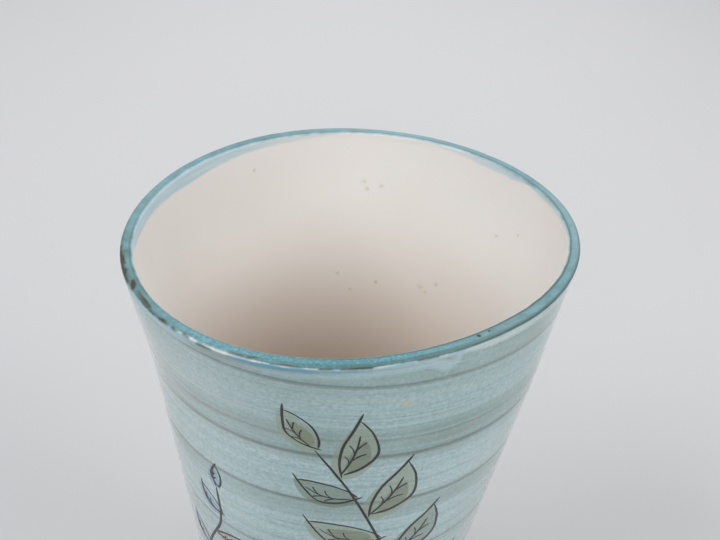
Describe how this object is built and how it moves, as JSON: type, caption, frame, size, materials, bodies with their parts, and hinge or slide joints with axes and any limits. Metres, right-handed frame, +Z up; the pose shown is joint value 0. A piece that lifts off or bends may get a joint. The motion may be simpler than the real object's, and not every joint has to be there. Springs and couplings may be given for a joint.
{
  "type": "ceramic vase",
  "caption": "Hand-thrown conical ceramic vase with a brushed turquoise glaze outside, a cream glaze inside and a speckled teal rim, standing on a bare clay foot ring.",
  "frame": {"origin": "centre of the foot, on the surface that the vase stands on", "axes": "+Z up along the axis of the vase, -Y towards the painted front, +X to the right of someone who faces that front"},
  "size_m": [0.1604, 0.1604, 0.2255],
  "materials": {
    "fired_clay": "bare fired clay, turned, matt",
    "turquoise_glaze": "brushed pale turquoise glaze with darker bands, soft gloss",
    "cream_glaze": "opaque cream tin glaze, soft gloss",
    "teal_glaze": "speckled teal glaze, worn at the edges, gloss"
  },
  "bodies": {
    "root": {"clay_body": "fired_clay", "foot_ring": "fired_clay", "outer_glaze": "turquoise_glaze", "liner_glaze": "cream_glaze", "rim_glaze": "teal_glaze"}
  },
  "joints": []
}
